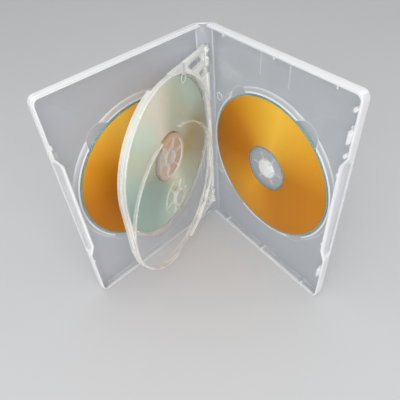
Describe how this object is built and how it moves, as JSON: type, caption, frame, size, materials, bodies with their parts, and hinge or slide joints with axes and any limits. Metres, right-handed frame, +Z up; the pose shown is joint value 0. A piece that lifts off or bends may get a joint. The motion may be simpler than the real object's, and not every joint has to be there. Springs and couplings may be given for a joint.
{
  "type": "dvd case",
  "caption": "Frosted clear disc case standing open like a book, with covers on living hinges, a double-sided flip tray, press-button disc hubs and discs with plain orange labels.",
  "frame": {"origin": "middle of the open case's footprint, on the surface it stands on", "axes": "+Z up along the spine, +Y from the free edges towards the spine, +X towards the right cover"},
  "size_m": [0.1908, 0.1196, 0.19],
  "materials": {
    "frosted_plastic": "frosted translucent polypropylene",
    "orange_disc": "clear polycarbonate disc with a bare orange label side and a mirrored data side"
  },
  "bodies": {
    "spine": {"spine": "frosted_plastic"},
    "left_cover": {"left_cover": "frosted_plastic", "left_disc": "orange_disc"},
    "right_cover": {"right_cover": "frosted_plastic", "right_disc": "orange_disc"},
    "flip_tray": {"flip_tray": "frosted_plastic", "tray_disc": "orange_disc"},
    "left_hub_button": {"left_hub_button": "frosted_plastic"},
    "right_hub_button": {"right_hub_button": "frosted_plastic"},
    "tray_far_button": {"tray_far_button": "frosted_plastic"},
    "tray_near_button": {"tray_near_button": "frosted_plastic"}
  },
  "joints": [
    {"name": "left_cover_hinge", "type": "hinge", "parent": "spine", "child": "left_cover", "pos_m": [-0.006, 0.05877, 0.095], "axis": [0, 0, -1], "range_deg": [-41.5, 48.5]},
    {"name": "right_cover_hinge", "type": "hinge", "parent": "spine", "child": "right_cover", "pos_m": [0.006, 0.05877, 0.095], "axis": [0, 0, 1], "range_deg": [-41.5, 48.5]},
    {"name": "tray_hinge", "type": "hinge", "parent": "spine", "child": "flip_tray", "pos_m": [0, 0.05527, 0.095], "axis": [0, 0, -1], "range_deg": [-23, 26.9]},
    {"name": "left_button_press", "type": "slide", "parent": "left_cover", "child": "left_hub_button", "axis": [-0.749, 0.6626, 0], "range_m": [0, 0.0007], "stiffness_N_per_m": 2000},
    {"name": "right_button_press", "type": "slide", "parent": "right_cover", "child": "right_hub_button", "axis": [0.749, 0.6626, 0], "range_m": [0, 0.0007], "stiffness_N_per_m": 2000},
    {"name": "tray_far_button_press", "type": "slide", "parent": "flip_tray", "child": "tray_far_button", "axis": [0.9205, -0.3907, 0], "range_m": [0, 0.0007], "stiffness_N_per_m": 2000},
    {"name": "tray_near_button_press", "type": "slide", "parent": "flip_tray", "child": "tray_near_button", "axis": [-0.9205, 0.3907, 0], "range_m": [0, 0.0007], "stiffness_N_per_m": 2000}
  ],
  "couplings": [
    {"joint": "tray_hinge", "follows": "left_cover_hinge", "ratio": 0.5542}
  ]
}
